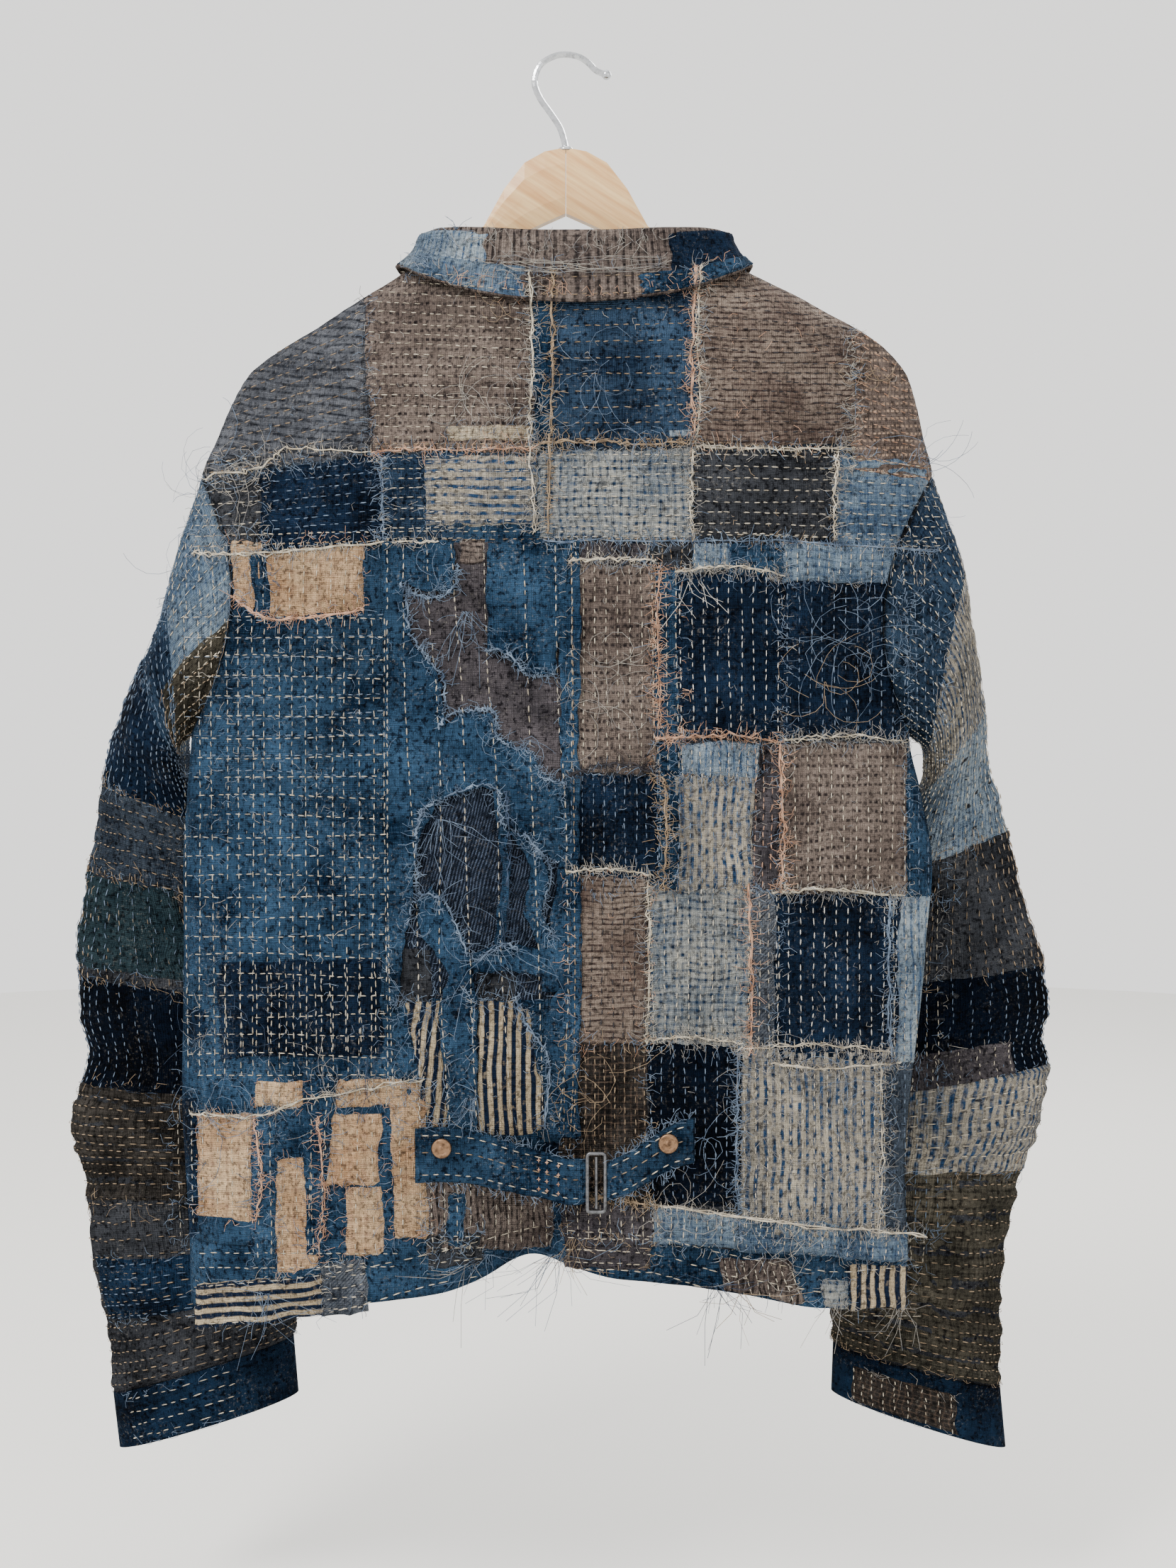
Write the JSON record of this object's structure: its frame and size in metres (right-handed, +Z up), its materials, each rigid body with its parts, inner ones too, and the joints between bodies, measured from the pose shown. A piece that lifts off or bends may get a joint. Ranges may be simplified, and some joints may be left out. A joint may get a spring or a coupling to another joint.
{
  "type": "boro jacket on a wooden hanger",
  "caption": "Waist-length patched and hand-stitched work jacket with turn-down collar, set-in sleeves, hem band and back cinch, hung on a wooden hanger by its wire hook.",
  "frame": {"origin": "underside of the wire hook at its highest bend, where it rests on a peg", "axes": "+Z up, -Y towards the viewer of the jacket's back, so the wearer's chest faces +Y; +X is the wearer's right"},
  "size_m": [0.6505, 0.1559, 0.9073],
  "materials": {
    "yoke": "patched cotton in taupe, slate and charcoal, sewn with rows of running stitch",
    "back_left": "faded indigo cotton under a grid of pale stitches",
    "back_right": "patchwork of indigo, navy, taupe and striped cotton",
    "torn_layer": "torn indigo cotton with ragged edges",
    "front_left": "plain patched indigo cotton",
    "front_right": "plain patched indigo cotton",
    "band_back": "indigo cotton band with two rows of pale stitches",
    "band_front_left": "indigo cotton band",
    "band_front_right": "indigo cotton band",
    "sleeve_left": "worn cotton, hand-stitched",
    "sleeve_right": "worn cotton, hand-stitched",
    "cuff_left": "indigo cotton, two rows of stitches",
    "cuff_right": "indigo cotton, two rows of stitches",
    "collar": "patched cotton, frayed",
    "button_band": "worn cotton, hand-stitched",
    "cinch_strap_left": "indigo strap, topstitched",
    "cinch_strap_right": "indigo strap, topstitched",
    "cinch_buckle": "plain wire",
    "cinch_stud_left": "aged copper brown",
    "cinch_stud_right": "aged copper brown",
    "hanger_arm_left": "clear-varnished pale wood",
    "hanger_arm_right": "clear-varnished pale wood",
    "hanger_hook": "bright wire",
    "button_1": "aged copper brown",
    "button_2": "aged copper brown",
    "button_3": "aged copper brown",
    "button_4": "aged copper brown",
    "button_5": "aged copper brown"
  },
  "bodies": {
    "root": {"yoke": "yoke", "back_left": "back_left", "back_right": "back_right", "torn_layer": "torn_layer", "front_left": "front_left", "front_right": "front_right", "band_back": "band_back", "band_front_left": "band_front_left", "band_front_right": "band_front_right", "sleeve_left": "sleeve_left", "sleeve_right": "sleeve_right", "cuff_left": "cuff_left", "cuff_right": "cuff_right", "collar": "collar", "button_band": "button_band", "cinch_strap_left": "cinch_strap_left", "cinch_strap_right": "cinch_strap_right", "cinch_buckle": "cinch_buckle", "cinch_stud_left": "cinch_stud_left", "cinch_stud_right": "cinch_stud_right", "hanger_arm_left": "hanger_arm_left", "hanger_arm_right": "hanger_arm_right", "hanger_hook": "hanger_hook", "button_1": "button_1", "button_2": "button_2", "button_3": "button_3", "button_4": "button_4", "button_5": "button_5"}
  },
  "joints": []
}
